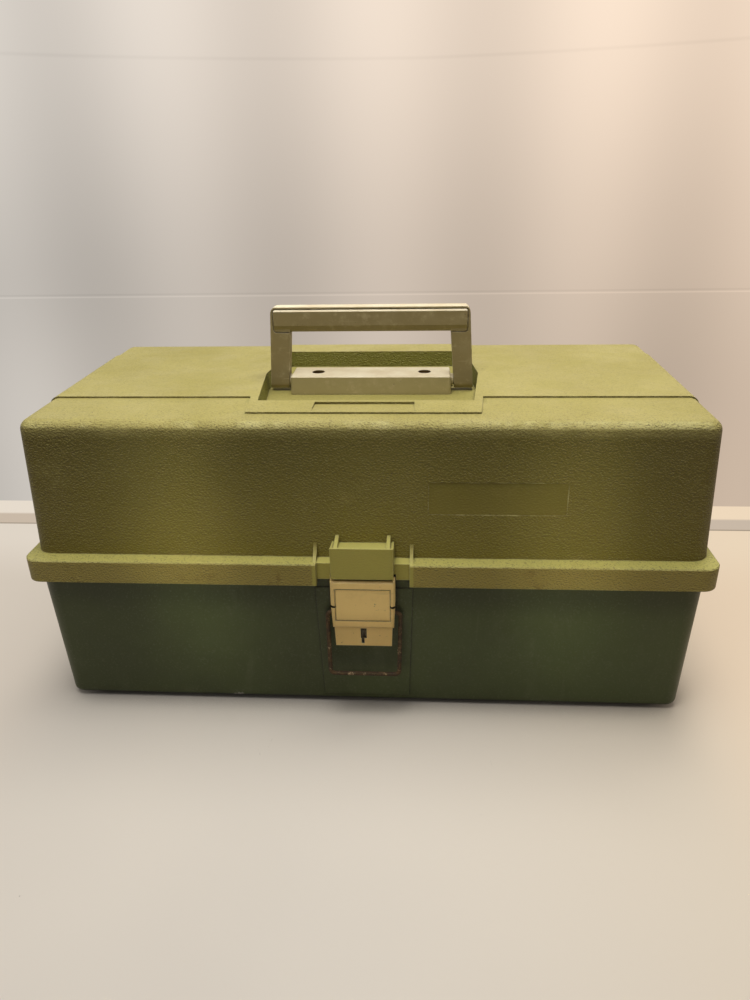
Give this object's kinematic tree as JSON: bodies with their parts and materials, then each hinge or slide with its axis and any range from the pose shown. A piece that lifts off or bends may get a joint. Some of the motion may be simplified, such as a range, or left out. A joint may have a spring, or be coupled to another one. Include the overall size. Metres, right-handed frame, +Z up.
{
  "type": "tackle box",
  "caption": "Moulded plastic tackle box with a deep hinged lid, folding handle, wire bail latch with key lock, and stepped trays that rise on parallel arms as the lid opens.",
  "frame": {"origin": "middle of the flat foot under the base", "axes": "+X to the right seen from the latch side, +Y to the hinges at the back, +Z up"},
  "size_m": [0.5, 0.2741, 0.2874],
  "materials": {
    "base_plastic": "satin, dark grey-green",
    "lid_plastic": "pebbled satin, olive green",
    "cream_plastic": "satin, aged cream",
    "tray_plastic": "satin, tan",
    "rusty_wire": "rusted",
    "rusty_screw": "rusted",
    "lock_metal": "dull",
    "steel": "plain bright steel"
  },
  "bodies": {
    "base": {"base_shell": "base_plastic", "latch_bracket": "base_plastic", "hinge_pin_left": "steel", "hinge_pin_right": "steel", "latch_lever_pin": "steel", "arm_foot_rivets": "steel"},
    "lid": {"lid_shell": "lid_plastic", "handle_mount_bar": "cream_plastic", "handle_screws": "rusty_screw", "lid_link_pins": "steel"},
    "handle": {"handle": "cream_plastic"},
    "latch_lever": {"latch_lever": "cream_plastic", "lock_cap": "lock_metal"},
    "latch_bail": {"latch_bail": "rusty_wire"},
    "lock_cam": {"lock_cam": "lock_metal"},
    "rear_arms": {"rear_arm_left": "steel", "rear_arm_right": "steel"},
    "front_arms": {"front_arm_left": "steel", "front_arm_right": "steel"},
    "tray_lower": {"tray_lower": "tray_plastic", "tray_lower_rivets": "steel"},
    "tray_middle": {"tray_middle": "tray_plastic", "tray_middle_rivets": "steel"},
    "tray_upper": {"tray_upper": "tray_plastic", "tray_upper_rivets": "steel"}
  },
  "joints": [
    {"name": "lid_open", "type": "hinge", "parent": "base", "child": "lid", "pos_m": [0, 0.1346, 0.115], "axis": [-1, 0, 0], "range_deg": [0, 100]},
    {"name": "rear_arm_swing", "type": "hinge", "parent": "base", "child": "rear_arms", "pos_m": [0, 0.08, 0.1015], "axis": [-1, 0, 0], "range_deg": [0, 100]},
    {"name": "front_arm_swing", "type": "hinge", "parent": "base", "child": "front_arms", "pos_m": [0, 0.00508, 0.1015], "axis": [-1, 0, 0], "range_deg": [0, 100]},
    {"name": "tray_lower_level", "type": "hinge", "parent": "rear_arms", "child": "tray_lower", "pos_m": [0, 0.04764, 0.125], "axis": [-1, 0, 0], "range_deg": [-100, 0]},
    {"name": "tray_middle_level", "type": "hinge", "parent": "rear_arms", "child": "tray_middle", "pos_m": [0, 0.01528, 0.1485], "axis": [-1, 0, 0], "range_deg": [-100, 0]},
    {"name": "tray_upper_level", "type": "hinge", "parent": "rear_arms", "child": "tray_upper", "pos_m": [0, -0.01708, 0.172], "axis": [-1, 0, 0], "range_deg": [-100, 0]},
    {"name": "handle_fold", "type": "hinge", "parent": "lid", "child": "handle", "pos_m": [0, 0.0052, 0.2272], "axis": [1, 0, 0], "range_deg": [-90, 90]},
    {"name": "latch_lift", "type": "hinge", "parent": "base", "child": "latch_lever", "pos_m": [0, -0.1293, 0.1155], "axis": [-1, 0, 0], "range_deg": [0, 90]},
    {"name": "bail_swing", "type": "hinge", "parent": "latch_lever", "child": "latch_bail", "pos_m": [0, -0.1265, 0.0901], "axis": [-1, 0, 0], "range_deg": [0, 110]},
    {"name": "lock_turn", "type": "hinge", "parent": "latch_lever", "child": "lock_cam", "pos_m": [0, -0.128, 0.074], "axis": [0, -1, 0], "range_deg": [0, 90]}
  ],
  "couplings": [
    {"joint": "rear_arm_swing", "follows": "lid_open", "ratio": 1},
    {"joint": "front_arm_swing", "follows": "lid_open", "ratio": 1},
    {"joint": "tray_lower_level", "follows": "lid_open", "ratio": -1},
    {"joint": "tray_middle_level", "follows": "lid_open", "ratio": -1},
    {"joint": "tray_upper_level", "follows": "lid_open", "ratio": -1}
  ]
}
